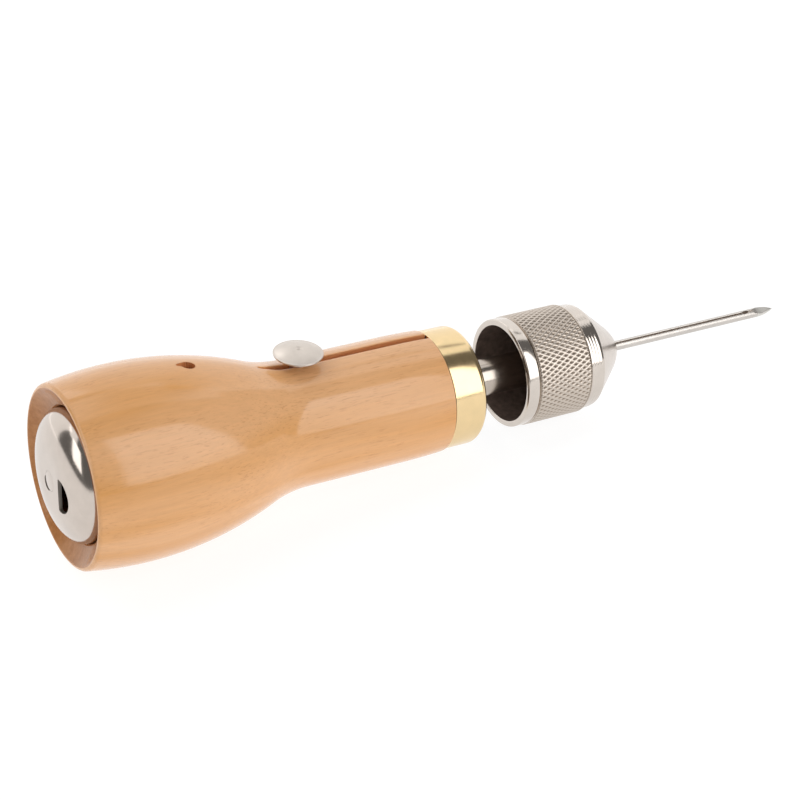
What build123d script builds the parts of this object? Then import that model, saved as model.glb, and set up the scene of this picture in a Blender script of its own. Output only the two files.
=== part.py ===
from build123d import *
import os
from math import sqrt

os.makedirs("parts", exist_ok=True)

# Lock-stitch sewing awl. Millimetres.
# +X runs along the tool axis towards the needle, +Z towards the thread slot and the tension stud.
# Lengths along the axis are stated as stations, measured forward from the handle's rear rim;
# the origin lies on the axis in the middle of the ferrule's cylindrical band.

# --- handle -------------------------------------------------------------------------------------
ORIGIN_STATION = 88.5
RIM_RADIUS = 18.7
RIM_ROUND = 0.9
BELLY_STATION = 14.7          # widest place of the bulb
BELLY_RADIUS = 20.87
BELLY_CURVE = 78.0            # radius of the bulb's long profile arc
NECK_RADIUS = 13.86
NECK_CURVE = 26.0             # radius of the hollow between bulb and neck
TAPER_STATION = 76.0          # where the neck starts to draw in towards the ferrule
FERRULE_STATION = 85.2
HANDLE_FRONT_RADIUS = 13.6
WOOD_EDGE = 0.3
WOOD_END = 92.5

BORE_RADIUS = 14.5
BORE_MOUTH = 2.5              # depth of the dished mouth
MOUTH_MIDDLE = 0.58           # share of that depth that the dish has at half its width
DISH_RISE = 0.2               # how far the dish's middle stands out from a straight cone
RIM_MIDDLE = 0.28             # share of the rim's rounding at half its height
RIM_RISE = 0.17
BORE_END = 33.0

SLOT_WIDTH = 2.0
SLOT_FLOOR = 9.9              # radius at the bottom of the thread slot
SLOT_REAR = 44.2              # where the slot runs out through the surface
SLOT_LEVEL = 54.0             # where its floor becomes level

THREAD_HOLE_STATION = 27.9
THREAD_HOLE_RADIUS = 1.6
THREAD_HOLE_SIDE = 0.8        # how far the hole lies beside the slot's plane
OVERCUT = 2.0                 # how far a cutter reaches past the surface it goes through

# --- ferrule ------------------------------------------------------------------------------------
FERRULE_RADIUS = 13.25
FERRULE_WALL = 0.9
FERRULE_END = 93.4
FERRULE_ROUND = 1.6

# --- needle post --------------------------------------------------------------------------------
SHANK_RADIUS = 3.6
SHANK_START = 66.0
FLANGE_RADIUS = 6.5
FLANGE_END = 94.0
STEM_RADIUS = 4.1
RELIEF_START = 110.0
RELIEF_END = 112.0
RELIEF_RADIUS = 3.3
THREAD_RADIUS = 4.0
POST_END = 128.0
SOCKET_START = 119.3
SOCKET_RADIUS = 1.85
KEYWAY_WIDTH = 1.4
KEYWAY_FLOOR = 2.9
KEYWAY_RAMP_START = 106.0
KEYWAY_RAMP_END = 109.0
EDGE_BREAK = 0.4

# --- chuck cap ----------------------------------------------------------------------------------
CAP_RIM = 104.4
CAP_RADIUS = 12.25
RIM_CHAMFER = 0.35
CUP_RADIUS = 10.9
KNURL_START = 107.3
KNURL_END = 120.9
KNURL_RADIUS = 12.4
FRONT_BAND_RADIUS = 11.9
CUP_END = 117.0
NOSE_START = 124.5
NOSE_CONE_END = 131.5
NOSE_CONE_RADIUS = 5.7
NOSE_END = 134.7
NOSE_BULGE_STATION = 133.7    # a point on the nose's rounded end
NOSE_BULGE_RADIUS = 3.2
NOSE_TIP_RADIUS = 1.7
CAP_THREAD_RADIUS = 4.08
NEEDLE_HOLE_RADIUS = 1.22
SEAT = 129.7                  # inside face that holds the needle's butt

# --- needle -------------------------------------------------------------------------------------
BUTT_RADIUS = 1.8
BUTT_START = 119.5
BUTT_END = 129.6
NEEDLE_RADIUS = 1.12
POINT_START = 175.4
NEEDLE_TIP = 180.5
POINT_RADIUS = 0.06
POINT_BELLY = 0.8             # radius halfway along the point, as a share of the needle's
GROOVE_START = 131.0
GROOVE_WIDTH = 0.7
GROOVE_DEPTH = 0.45
GROOVE_FADE = 3.0             # length over which the groove runs out past the eye
EYE_STATION = 172.2
EYE_LENGTH = 2.2
EYE_WIDTH = 0.8
SCARF_START = 166.7
SCARF_END = 173.6
SCARF_DEPTH = 0.4
CUT_CLEAR = 0.2               # how far the groove's and the scarf's cutters start outside
NEEDLE_TURN = 26.0            # degrees the eye is turned from the slot's plane

# --- tension stud -------------------------------------------------------------------------------
STUD_STATION = 53.5
STUD_SHANK_RADIUS = 1.7
STUD_TIP = 3.0
STUD_HEAD_RADIUS = 5.35
STUD_HEAD_BOTTOM = 15.9
STUD_HEAD_EDGE = 16.5
STUD_HEAD_TOP = 17.7

# --- bobbin -------------------------------------------------------------------------------------
REEL_RADIUS = 14.2
SHEET = 0.8
CROWN = -2.6                  # outer face of the domed flange, behind the rim
CROWN_FLAT = 4.2
SHOULDER_RADIUS = 10.6        # a point on the dome's profile
SHOULDER_DROP = 1.0
SKIRT_START = 2.2
SKIRT_END = 4.5
REEL_FLANGE = 30.0
REEL_FLANGE_THICK = 1.0
CORE_RADIUS = 4.0
CORE_BORE = 2.2
SPINDLE_RADIUS = 2.12
SPINDLE_FLARE = 0.4
SPINDLE_HEAD_RADIUS = 4.0
SPINDLE_HEAD_START = 31.1
SPINDLE_HEAD_THICK = 1.0
FINGER_HOLE_EDGE = -4.4       # straight side of the half-moon hole
FINGER_HOLE_CROWN = -8.7
FINGER_HOLE_LOW = -4.7
FINGER_HOLE_HIGH = 2.85
FINGER_HOLE_ROUND = 0.6


def at(station):
    """X of a station along the tool axis."""
    return station - ORIGIN_STATION


def point(station, radius):
    """A profile point in the plane that is turned about the tool axis."""
    return (at(station), radius)


def belly(station):
    """Radius of the bulb's profile arc."""
    drop = BELLY_CURVE - sqrt(BELLY_CURVE**2 - (station - BELLY_STATION) ** 2)
    return BELLY_RADIUS - drop


# The hollow arc touches the bulb's arc and ends level on the neck.
neck_rise = NECK_RADIUS + NECK_CURVE - BELLY_RADIUS + BELLY_CURVE
NECK_STATION = BELLY_STATION + sqrt((BELLY_CURVE + NECK_CURVE) ** 2 - neck_rise**2)
share = BELLY_CURVE / (BELLY_CURVE + NECK_CURVE)
TOUCH_STATION = BELLY_STATION + (NECK_STATION - BELLY_STATION) * share


def neck(station):
    """Radius of the hollow between the bulb and the neck."""
    return NECK_RADIUS + NECK_CURVE - sqrt(NECK_CURVE**2 - (station - NECK_STATION) ** 2)


def finish(builder, name):
    """Label one piece and write it as its own STEP file."""
    builder.part.label = name
    export_step(builder.part, f"parts/{name}.step")


SECTION = Plane.XZ            # local x along the tool axis, local y outwards on the slot's side
FACING = Plane(origin=(at(CROWN) - OVERCUT, 0, 0), x_dir=(0, 1, 0), z_dir=(1, 0, 0))
SPIGOT_RADIUS = FERRULE_RADIUS - FERRULE_WALL
LIP_RADIUS = FERRULE_RADIUS - FERRULE_ROUND

# --- handle: turned beech with the reel's bore, the thread hole and the sawn slot -----------------
with BuildPart() as handle:
    with BuildSketch(SECTION):
        with BuildLine():
            Polyline(
                point(BORE_END, 0),
                point(BORE_END, BORE_RADIUS),
                point(BORE_MOUTH, BORE_RADIUS),
            )
            ThreePointArc(
                point(BORE_MOUTH, BORE_RADIUS),
                point(BORE_MOUTH * MOUTH_MIDDLE, (BORE_RADIUS + RIM_RADIUS) / 2 + DISH_RISE),
                point(0, RIM_RADIUS),
            )
            ThreePointArc(
                point(0, RIM_RADIUS),
                point(RIM_ROUND * RIM_MIDDLE, (RIM_RADIUS + belly(RIM_ROUND)) / 2 + RIM_RISE),
                point(RIM_ROUND, belly(RIM_ROUND)),
            )
            ThreePointArc(
                point(RIM_ROUND, belly(RIM_ROUND)),
                point(BELLY_STATION, BELLY_RADIUS),
                point(TOUCH_STATION, belly(TOUCH_STATION)),
            )
            middle = (TOUCH_STATION + NECK_STATION) / 2
            ThreePointArc(
                point(TOUCH_STATION, belly(TOUCH_STATION)),
                point(middle, neck(middle)),
                point(NECK_STATION, NECK_RADIUS),
            )
            Line(point(NECK_STATION, NECK_RADIUS), point(TAPER_STATION, NECK_RADIUS))
            taper_end = FERRULE_STATION - WOOD_EDGE
            ThreePointArc(
                point(TAPER_STATION, NECK_RADIUS),
                point(
                    (TAPER_STATION + taper_end) / 2,
                    NECK_RADIUS - (NECK_RADIUS - HANDLE_FRONT_RADIUS) / 4,
                ),
                point(taper_end, HANDLE_FRONT_RADIUS),
            )
            Polyline(
                point(taper_end, HANDLE_FRONT_RADIUS),
                point(FERRULE_STATION, HANDLE_FRONT_RADIUS - WOOD_EDGE),
                point(FERRULE_STATION, SPIGOT_RADIUS),
                point(WOOD_END - EDGE_BREAK, SPIGOT_RADIUS),
                point(WOOD_END, SPIGOT_RADIUS - EDGE_BREAK),
                point(WOOD_END, SHANK_RADIUS),
                point(SHANK_START, SHANK_RADIUS),
                point(SHANK_START, 0),
                point(BORE_END, 0),
            )
        make_face()
    revolve(axis=Axis.X)
    # thread hole from the bore out to the top of the bulb
    with BuildSketch(Plane.XY.offset(BORE_RADIUS - OVERCUT)):
        with Locations((at(THREAD_HOLE_STATION), -THREAD_HOLE_SIDE)):
            Circle(THREAD_HOLE_RADIUS)
    extrude(amount=BELLY_RADIUS - BORE_RADIUS + 2 * OVERCUT, mode=Mode.SUBTRACT)
    # slot: a round cutter leaves the curved run-out at the rear
    with BuildSketch(SECTION):
        with BuildLine():
            run = SLOT_LEVEL - SLOT_REAR
            rise = neck(SLOT_REAR) + 1 - SLOT_FLOOR
            cutter = (run**2 + rise**2) / (2 * rise)
            Polyline(
                point(SLOT_REAR, SLOT_FLOOR + rise),
                point(WOOD_END + 1, SLOT_FLOOR + rise),
                point(WOOD_END + 1, SLOT_FLOOR),
                point(SLOT_LEVEL, SLOT_FLOOR),
            )
            half = run / 2
            ThreePointArc(
                point(SLOT_LEVEL, SLOT_FLOOR),
                point(SLOT_LEVEL - half, SLOT_FLOOR + cutter - sqrt(cutter**2 - half**2)),
                point(SLOT_REAR, SLOT_FLOOR + rise),
            )
        make_face()
    extrude(amount=SLOT_WIDTH / 2, both=True, mode=Mode.SUBTRACT)
    # pilot for the tension stud
    with BuildSketch(Plane.XY.offset(STUD_TIP)):
        with Locations((at(STUD_STATION), 0)):
            Circle(STUD_SHANK_RADIUS)
    extrude(amount=NECK_RADIUS, mode=Mode.SUBTRACT)
finish(handle, "handle")

# --- ferrule: brass ring with a rounded lip turned in over the end of the wood --------------------
with BuildPart() as ferrule:
    with BuildSketch(SECTION):
        with BuildLine():
            Polyline(
                point(FERRULE_END, LIP_RADIUS),
                point(WOOD_END, LIP_RADIUS),
                point(WOOD_END, SPIGOT_RADIUS - EDGE_BREAK),
                point(WOOD_END - EDGE_BREAK, SPIGOT_RADIUS),
                point(FERRULE_STATION, SPIGOT_RADIUS),
                point(FERRULE_STATION, FERRULE_RADIUS),
                point(FERRULE_END - FERRULE_ROUND, FERRULE_RADIUS),
            )
            RadiusArc(
                point(FERRULE_END - FERRULE_ROUND, FERRULE_RADIUS),
                point(FERRULE_END, LIP_RADIUS),
                FERRULE_ROUND,
            )
        make_face()
    revolve(axis=Axis.X)
finish(ferrule, "ferrule")

# --- needle post: shank in the wood, bare stem, threaded end with the needle's socket --------------
with BuildPart() as needle_post:
    with BuildSketch(SECTION):
        with BuildLine():
            Polyline(
                point(SHANK_START, 0),
                point(SHANK_START, SHANK_RADIUS),
                point(WOOD_END, SHANK_RADIUS),
                point(WOOD_END, FLANGE_RADIUS),
                point(FLANGE_END - EDGE_BREAK, FLANGE_RADIUS),
                point(FLANGE_END, FLANGE_RADIUS - EDGE_BREAK),
                point(FLANGE_END, STEM_RADIUS),
                point(RELIEF_START, STEM_RADIUS),
                point(RELIEF_START, RELIEF_RADIUS),
                point(RELIEF_END, RELIEF_RADIUS),
                point(RELIEF_END + EDGE_BREAK, THREAD_RADIUS),
                point(POST_END - EDGE_BREAK, THREAD_RADIUS),
                point(POST_END, THREAD_RADIUS - EDGE_BREAK),
                point(POST_END, SOCKET_RADIUS),
                point(SOCKET_START, SOCKET_RADIUS),
                point(SOCKET_START, 0),
                close=True,
            )
        make_face()
    revolve(axis=Axis.X)
    # keyway that leads the thread forward under the cap
    with BuildSketch(SECTION):
        with BuildLine():
            Polyline(
                point(KEYWAY_RAMP_START, STEM_RADIUS + 1),
                point(KEYWAY_RAMP_END, KEYWAY_FLOOR),
                point(POST_END + 1, KEYWAY_FLOOR),
                point(POST_END + 1, STEM_RADIUS + 1),
                close=True,
            )
        make_face()
    extrude(amount=KEYWAY_WIDTH / 2, both=True, mode=Mode.SUBTRACT)
finish(needle_post, "needle_post")

# --- chuck cap: knurled cup that screws on the post, with a rounded nose ---------------------------
with BuildPart() as chuck_cap:
    with BuildSketch(SECTION):
        with BuildLine():
            Polyline(
                point(NOSE_END, NOSE_TIP_RADIUS),
                point(NOSE_END, NEEDLE_HOLE_RADIUS),
                point(SEAT, NEEDLE_HOLE_RADIUS),
                point(SEAT, CAP_THREAD_RADIUS),
                point(CUP_END, CAP_THREAD_RADIUS),
                point(CUP_END, CUP_RADIUS),
                point(CAP_RIM, CUP_RADIUS),
                point(CAP_RIM, CAP_RADIUS - RIM_CHAMFER),
                point(CAP_RIM + RIM_CHAMFER, CAP_RADIUS),
                point(KNURL_START, CAP_RADIUS),
                point(KNURL_START, KNURL_RADIUS),
                point(KNURL_END, KNURL_RADIUS),
                point(KNURL_END, FRONT_BAND_RADIUS),
                point(NOSE_START, FRONT_BAND_RADIUS),
                point(NOSE_CONE_END, NOSE_CONE_RADIUS),
            )
            ThreePointArc(
                point(NOSE_CONE_END, NOSE_CONE_RADIUS),
                point(NOSE_BULGE_STATION, NOSE_BULGE_RADIUS),
                point(NOSE_END, NOSE_TIP_RADIUS),
            )
        make_face()
    revolve(axis=Axis.X)
finish(chuck_cap, "chuck_cap")

# --- needle: stout butt, grooved shaft, eye with a scarf behind it, spear point --------------------
needle_side = Plane.XZ.rotated((NEEDLE_TURN, 0, 0))
needle_face = Plane.XY.rotated((NEEDLE_TURN, 0, 0))
with BuildPart() as needle:
    with BuildSketch(SECTION):
        with BuildLine():
            Polyline(
                point(NEEDLE_TIP, POINT_RADIUS),
                point(NEEDLE_TIP, 0),
                point(BUTT_START, 0),
                point(BUTT_START, BUTT_RADIUS - EDGE_BREAK / 2),
                point(BUTT_START + EDGE_BREAK / 2, BUTT_RADIUS),
                point(BUTT_END, BUTT_RADIUS),
                point(BUTT_END, NEEDLE_RADIUS),
                point(POINT_START, NEEDLE_RADIUS),
            )
            ThreePointArc(
                point(POINT_START, NEEDLE_RADIUS),
                point((POINT_START + NEEDLE_TIP) / 2, NEEDLE_RADIUS * POINT_BELLY),
                point(NEEDLE_TIP, POINT_RADIUS),
            )
        make_face()
    revolve(axis=Axis.X)
    # long thread groove
    with BuildSketch(needle_side):
        with BuildLine():
            Polyline(
                point(GROOVE_START, NEEDLE_RADIUS - GROOVE_DEPTH),
                point(EYE_STATION, NEEDLE_RADIUS - GROOVE_DEPTH),
                point(EYE_STATION + GROOVE_FADE, NEEDLE_RADIUS + CUT_CLEAR),
                point(GROOVE_START - 1, NEEDLE_RADIUS + CUT_CLEAR),
                close=True,
            )
        make_face()
    extrude(amount=GROOVE_WIDTH / 2, both=True, mode=Mode.SUBTRACT)
    # scarf on the far side
    with BuildSketch(needle_side):
        with BuildLine():
            scarf_middle = (SCARF_START + SCARF_END) / 2
            outside = -NEEDLE_RADIUS - CUT_CLEAR
            Line(point(SCARF_START, outside), point(SCARF_END, outside))
            ThreePointArc(
                point(SCARF_START, outside),
                point(scarf_middle, -NEEDLE_RADIUS + SCARF_DEPTH),
                point(SCARF_END, outside),
            )
        make_face()
    extrude(amount=2 * NEEDLE_RADIUS, both=True, mode=Mode.SUBTRACT)
    # eye
    with BuildSketch(needle_face):
        with Locations((at(EYE_STATION), 0)):
            SlotOverall(EYE_LENGTH, EYE_WIDTH)
    extrude(amount=2 * NEEDLE_RADIUS, both=True, mode=Mode.SUBTRACT)
finish(needle, "needle")

# --- tension stud: domed head on a shank that is driven into the rear end of the slot ----------------
dome = STUD_HEAD_TOP - STUD_HEAD_EDGE
dome_radius = (STUD_HEAD_RADIUS**2 + dome**2) / (2 * dome)
with BuildPart() as tension_stud:
    with BuildSketch(Plane(origin=(at(STUD_STATION), 0, 0), x_dir=(1, 0, 0), z_dir=(0, -1, 0))):
        with BuildLine():
            Polyline(
                (0, STUD_HEAD_TOP),
                (0, STUD_TIP),
                (STUD_SHANK_RADIUS, STUD_TIP),
                (STUD_SHANK_RADIUS, STUD_HEAD_BOTTOM),
                (STUD_HEAD_RADIUS, STUD_HEAD_EDGE - EDGE_BREAK / 2),
                (STUD_HEAD_RADIUS, STUD_HEAD_EDGE),
            )
            RadiusArc((0, STUD_HEAD_TOP), (STUD_HEAD_RADIUS, STUD_HEAD_EDGE), dome_radius)
        make_face()
    revolve(axis=Axis((at(STUD_STATION), 0, 0), (0, 0, 1)))
finish(tension_stud, "tension_stud")

# --- bobbin: domed outer flange with skirt, core tube, inner flange, spindle ------------------------
with BuildPart() as bobbin_outer_flange:
    with BuildSketch(SECTION):
        with BuildLine():
            flare = CORE_BORE + SPINDLE_FLARE
            Polyline(
                point(CROWN, CROWN_FLAT),
                point(CROWN, flare),
                point(CROWN + SPINDLE_FLARE, CORE_BORE),
                point(CROWN + SHEET, CORE_BORE),
                point(CROWN + SHEET, CROWN_FLAT),
            )
            for gap in (0, SHEET):
                Spline(
                    point(CROWN + gap, CROWN_FLAT),
                    point(CROWN + gap + SHOULDER_DROP, SHOULDER_RADIUS - gap / 2),
                    point(SKIRT_START, REEL_RADIUS - gap),
                    tangents=((0, 1), (1, 0)),
                )
                Line(point(SKIRT_START, REEL_RADIUS - gap), point(SKIRT_END, REEL_RADIUS - gap))
            Line(point(SKIRT_END, REEL_RADIUS), point(SKIRT_END, REEL_RADIUS - SHEET))
        make_face()
    revolve(axis=Axis.X)
    # half-moon hole for a fingernail
    with BuildSketch(FACING) as half_moon:
        with BuildLine():
            Line((FINGER_HOLE_EDGE, FINGER_HOLE_LOW), (FINGER_HOLE_EDGE, FINGER_HOLE_HIGH))
            ThreePointArc(
                (FINGER_HOLE_EDGE, FINGER_HOLE_LOW),
                (FINGER_HOLE_CROWN, (FINGER_HOLE_LOW + FINGER_HOLE_HIGH) / 2),
                (FINGER_HOLE_EDGE, FINGER_HOLE_HIGH),
            )
        make_face()
        fillet(half_moon.vertices(), FINGER_HOLE_ROUND)
    extrude(amount=3 * OVERCUT, mode=Mode.SUBTRACT)
finish(bobbin_outer_flange, "bobbin_outer_flange")

with BuildPart() as bobbin_core:
    with BuildSketch(SECTION):
        with BuildLine():
            Polyline(
                point(CROWN + SHEET, CORE_BORE),
                point(CROWN + SHEET, CORE_RADIUS),
                point(REEL_FLANGE, CORE_RADIUS),
                point(REEL_FLANGE, CORE_BORE),
                close=True,
            )
        make_face()
    revolve(axis=Axis.X)
finish(bobbin_core, "bobbin_core")

with BuildPart() as bobbin_inner_flange:
    with BuildSketch(SECTION):
        with BuildLine():
            flange_face = REEL_FLANGE + REEL_FLANGE_THICK
            Polyline(
                point(REEL_FLANGE, CORE_BORE),
                point(REEL_FLANGE, REEL_RADIUS - EDGE_BREAK),
                point(REEL_FLANGE + EDGE_BREAK, REEL_RADIUS),
                point(flange_face - EDGE_BREAK, REEL_RADIUS),
                point(flange_face, REEL_RADIUS - EDGE_BREAK),
                point(flange_face, CORE_BORE),
                close=True,
            )
        make_face()
    revolve(axis=Axis.X)
finish(bobbin_inner_flange, "bobbin_inner_flange")

with BuildPart() as bobbin_spindle:
    with BuildSketch(SECTION):
        with BuildLine():
            head_face = SPINDLE_HEAD_START + SPINDLE_HEAD_THICK
            Polyline(
                point(CROWN, 0),
                point(CROWN, SPINDLE_RADIUS + SPINDLE_FLARE),
                point(CROWN + SPINDLE_FLARE, SPINDLE_RADIUS),
                point(SPINDLE_HEAD_START, SPINDLE_RADIUS),
                point(SPINDLE_HEAD_START, SPINDLE_HEAD_RADIUS),
                point(head_face - EDGE_BREAK, SPINDLE_HEAD_RADIUS),
                point(head_face, SPINDLE_HEAD_RADIUS - EDGE_BREAK),
                point(head_face, 0),
                close=True,
            )
        make_face()
    revolve(axis=Axis.X)
finish(bobbin_spindle, "bobbin_spindle")
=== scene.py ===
"""Looks for the lock-stitch sewing awl: turned, sawn and knurled meshes around the CAD frame."""

from math import acos, asin, atan2, ceil, cos, hypot, pi, radians, sin, sqrt, tan

import bmesh
import bpy
from mathutils import Matrix, Vector


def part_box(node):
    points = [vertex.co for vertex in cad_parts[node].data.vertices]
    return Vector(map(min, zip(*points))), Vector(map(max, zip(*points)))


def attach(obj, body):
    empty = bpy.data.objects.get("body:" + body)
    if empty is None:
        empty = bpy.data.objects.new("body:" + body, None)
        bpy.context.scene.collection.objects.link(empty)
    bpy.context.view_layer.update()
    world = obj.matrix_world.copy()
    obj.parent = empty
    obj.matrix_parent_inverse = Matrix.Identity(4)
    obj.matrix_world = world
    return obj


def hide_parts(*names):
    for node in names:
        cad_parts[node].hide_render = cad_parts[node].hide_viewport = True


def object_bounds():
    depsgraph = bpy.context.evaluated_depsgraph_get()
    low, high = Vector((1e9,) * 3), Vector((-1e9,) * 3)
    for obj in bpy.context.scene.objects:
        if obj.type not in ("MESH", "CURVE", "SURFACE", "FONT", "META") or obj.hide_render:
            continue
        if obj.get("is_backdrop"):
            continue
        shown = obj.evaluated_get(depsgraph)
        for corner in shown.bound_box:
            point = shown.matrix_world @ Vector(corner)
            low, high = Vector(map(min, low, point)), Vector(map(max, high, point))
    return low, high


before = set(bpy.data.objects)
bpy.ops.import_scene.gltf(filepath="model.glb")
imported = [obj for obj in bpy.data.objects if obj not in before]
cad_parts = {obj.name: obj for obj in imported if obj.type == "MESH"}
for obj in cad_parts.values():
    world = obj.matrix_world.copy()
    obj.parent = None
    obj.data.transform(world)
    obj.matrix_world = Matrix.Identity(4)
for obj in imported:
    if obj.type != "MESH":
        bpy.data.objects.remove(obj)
cad_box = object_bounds()

MM = 0.001
RIM_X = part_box("handle")[0].x            # station 0 is the handle's rear rim


def extent(node):
    """First station, last station and largest radius of a CAD node, in mm."""
    low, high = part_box(node)
    return (low.x - RIM_X) / MM, (high.x - RIM_X) / MM, max(high.z, -low.z) / MM


# --- driving dimensions in mm, those of the CAD model unless marked ------------------------------
RIM_RADIUS = 18.7
RIM_ROUND = 0.9
BELLY_STATION = 14.7
BELLY_RADIUS = extent("handle")[2]
BELLY_CURVE = 78.0
NECK_RADIUS = 13.86
NECK_CURVE = 26.0
TAPER_STATION = 76.0
HANDLE_FRONT_RADIUS = 13.6
WOOD_END = extent("handle")[1]
WOOD_EDGE = 0.3
BORE_RADIUS = 14.5
BORE_MOUTH = 2.5
BORE_END = 33.0
SLOT_HALF = 1.0
SLOT_FLOOR = 9.9
SLOT_REAR = 44.2
SLOT_LEVEL = 54.0
SLOT_TAIL = 0.3                         # share of its width that the slot starts with; 1 in the CAD
SLOT_TAIL_LENGTH = 5.0
THREAD_HOLE_STATION = 27.9
THREAD_HOLE_RADIUS = 1.6
THREAD_HOLE_SIDE = 0.8

FERRULE_START, FERRULE_END, FERRULE_RADIUS = extent("ferrule")
FERRULE_WALL = 0.9
FERRULE_ROUND = 1.6
SPIGOT_RADIUS = FERRULE_RADIUS - FERRULE_WALL

SHANK_START, POST_END, FLANGE_RADIUS = extent("needle_post")
SHANK_RADIUS = 3.6
FLANGE_END = 94.0
STEM_RADIUS = 4.1
STEM_ROOT_RADIUS = 3.55                 # the stem's flare is only in the looks
STEM_FLARE_END = 98.6
RELIEF_START = 110.0
RELIEF_END = 112.0
RELIEF_RADIUS = 3.3
THREAD_RADIUS = 4.0
THREAD_PITCH = 1.25                     # the thread is only in the looks
THREAD_DEPTH = 0.6
THREAD_CREST = 1.15                     # above 1 the crests are flattened
SOCKET_START = 119.3
SOCKET_RADIUS = 1.85

CAP_RIM, NOSE_END, KNURL_RADIUS = extent("chuck_cap")
CAP_RADIUS = 12.25
CUP_RADIUS = 10.9
CUP_END = 117.0
KNURL_START = 107.3
KNURL_END = 120.9
KNURL_TEETH = 64                        # the knurl is only in the looks
KNURL_HELIX = radians(30)
KNURL_DEPTH = 0.26
FRONT_BAND_RADIUS = 11.9
NOSE_START = 124.5
NOSE_CONE_END = 131.5
NOSE_CONE_RADIUS = 5.7
NOSE_TIP_RADIUS = 1.7
CAP_THREAD_RADIUS = 4.08
NEEDLE_HOLE_RADIUS = 1.22
SEAT = 129.7

BUTT_START, NEEDLE_TIP, BUTT_RADIUS = extent("needle")
BUTT_END = 129.6
NEEDLE_RADIUS = 1.12
POINT_START = 175.4
POINT_BELLY = 0.8
POINT_FLAT = 0.42                       # the point's flats are only in the looks
GROOVE_START = 131.0
GROOVE_WIDTH = 0.45                     # 0.7 in the CAD
GROOVE_DEPTH = 0.45
GROOVE_EASE = 0.8
GROOVE_RUNOUT = 3.0
EYE_STATION = 172.2
EYE_LENGTH = 2.2
EYE_WIDTH = 0.8
SCARF_START = 166.7
SCARF_END = 173.6
SCARF_DEPTH = 0.4
SPEAR_EASE = 1.5
NEEDLE_TURN = radians(26)

STUD_STATION = 53.5
STUD_LOW, STUD_HIGH = (corner.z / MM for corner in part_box("tension_stud"))
STUD_SHANK_RADIUS = 1.7
STUD_HEAD_RADIUS = 5.35
STUD_HEAD_BOTTOM = 15.9
STUD_HEAD_EDGE = 16.5
STUD_LEAN = radians(4)                  # upright in the CAD
SPIRAL_RADIUS = 1.0                     # the turned spiral is only in the looks
SPIRAL_PITCH = 0.42
SPIRAL_DEPTH = 0.08

CROWN, SKIRT_END, REEL_RADIUS = extent("bobbin_outer_flange")
SHEET = 0.8
CROWN_FLAT = 4.2
DOME_POWER = 2.2                        # the dome passes the CAD's shoulder with it
SKIRT_START = 2.2
CORE_START, CORE_END, CORE_RADIUS = extent("bobbin_core")
CORE_BORE = 2.2
SPINDLE_RADIUS = 2.12
SPINDLE_HOLE = 2.15                     # 2.2 in the CAD
REEL_FLANGE, REEL_FLANGE_END, _ = extent("bobbin_inner_flange")
SPINDLE_HEAD = 31.1
SPINDLE_END = extent("bobbin_spindle")[1]
HALF_MOON_EDGE = -4.4
HALF_MOON_CROWN = -8.7
HALF_MOON_LOW = -4.7
HALF_MOON_HIGH = 2.85
HALF_MOON_ROUND = 0.5                   # 0.6 in the CAD
CRESCENT_FIRST = 84                     # degrees from +Z towards +Y; only in the looks
CRESCENT_LAST = 176
CRESCENT_WIDTH = 0.85

FLOOR_GAP = 0.32                        # under the bulb's widest ring; the slope takes 0.26 of it
POLE = 1e-4                             # a ring with a smaller radius is a single point
SHARP_ANGLE = 32                        # degrees


# --- outlines: lists of (station, radius) --------------------------------------------------------
def arc(start, through, end, steps):
    """Points on the circle through three points, from start to end."""
    (ax, ay), (bx, by), (cx, cy) = start, through, end
    d = 2 * (ax * (by - cy) + bx * (cy - ay) + cx * (ay - by))
    a, b, c = ax * ax + ay * ay, bx * bx + by * by, cx * cx + cy * cy
    ox = (a * (by - cy) + b * (cy - ay) + c * (ay - by)) / d
    oy = (a * (cx - bx) + b * (ax - cx) + c * (bx - ax)) / d
    first = atan2(ay - oy, ax - ox)
    turn = (atan2(cy - oy, cx - ox) - first) % (2 * pi)
    middle = (atan2(by - oy, bx - ox) - first) % (2 * pi)
    if middle > turn:
        turn -= 2 * pi
    size = hypot(ax - ox, ay - oy)
    angles = [first + turn * i / steps for i in range(steps + 1)]
    return [(ox + size * cos(t), oy + size * sin(t)) for t in angles]


def eased(corners, steps=4):
    """An outline from (station, radius, rounding) corners, each rounded off by an arc."""
    points = []
    last = len(corners) - 1
    for i, (x, y, size) in enumerate(corners):
        if size == 0 or i in (0, last):
            points.append((x, y))
            continue
        here = Vector((x, y))
        back = (Vector(corners[i - 1][:2]) - here).normalized()
        on = (Vector(corners[i + 1][:2]) - here).normalized()
        half = acos(max(-1.0, min(1.0, back.dot(on)))) / 2
        reach = size / tan(half)
        centre = here + (back + on).normalized() * (size / sin(half))
        through = centre + (here - centre).normalized() * size
        start, end = here + back * reach, here + on * reach
        points += arc(tuple(start), tuple(through), tuple(end), steps)
    return points


def divided(start, end, step):
    """Points along a straight run, spaced by at most step."""
    count = max(1, ceil(hypot(end[0] - start[0], end[1] - start[1]) / step))
    return [
        (start[0] + (end[0] - start[0]) * i / count, start[1] + (end[1] - start[1]) * i / count)
        for i in range(count + 1)
    ]


def belly(station):
    """Radius of the bulb's profile arc."""
    return BELLY_RADIUS - BELLY_CURVE + sqrt(BELLY_CURVE**2 - (station - BELLY_STATION) ** 2)


# The bulb's arc and the hollow's arc touch at TOUCH_STATION.
BOTH_CURVES = BELLY_CURVE + NECK_CURVE
NECK_RISE = NECK_RADIUS + NECK_CURVE - BELLY_RADIUS + BELLY_CURVE
NECK_STATION = BELLY_STATION + sqrt(BOTH_CURVES**2 - NECK_RISE**2)
TOUCH_STATION = BELLY_STATION + (NECK_STATION - BELLY_STATION) * BELLY_CURVE / BOTH_CURVES


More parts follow.
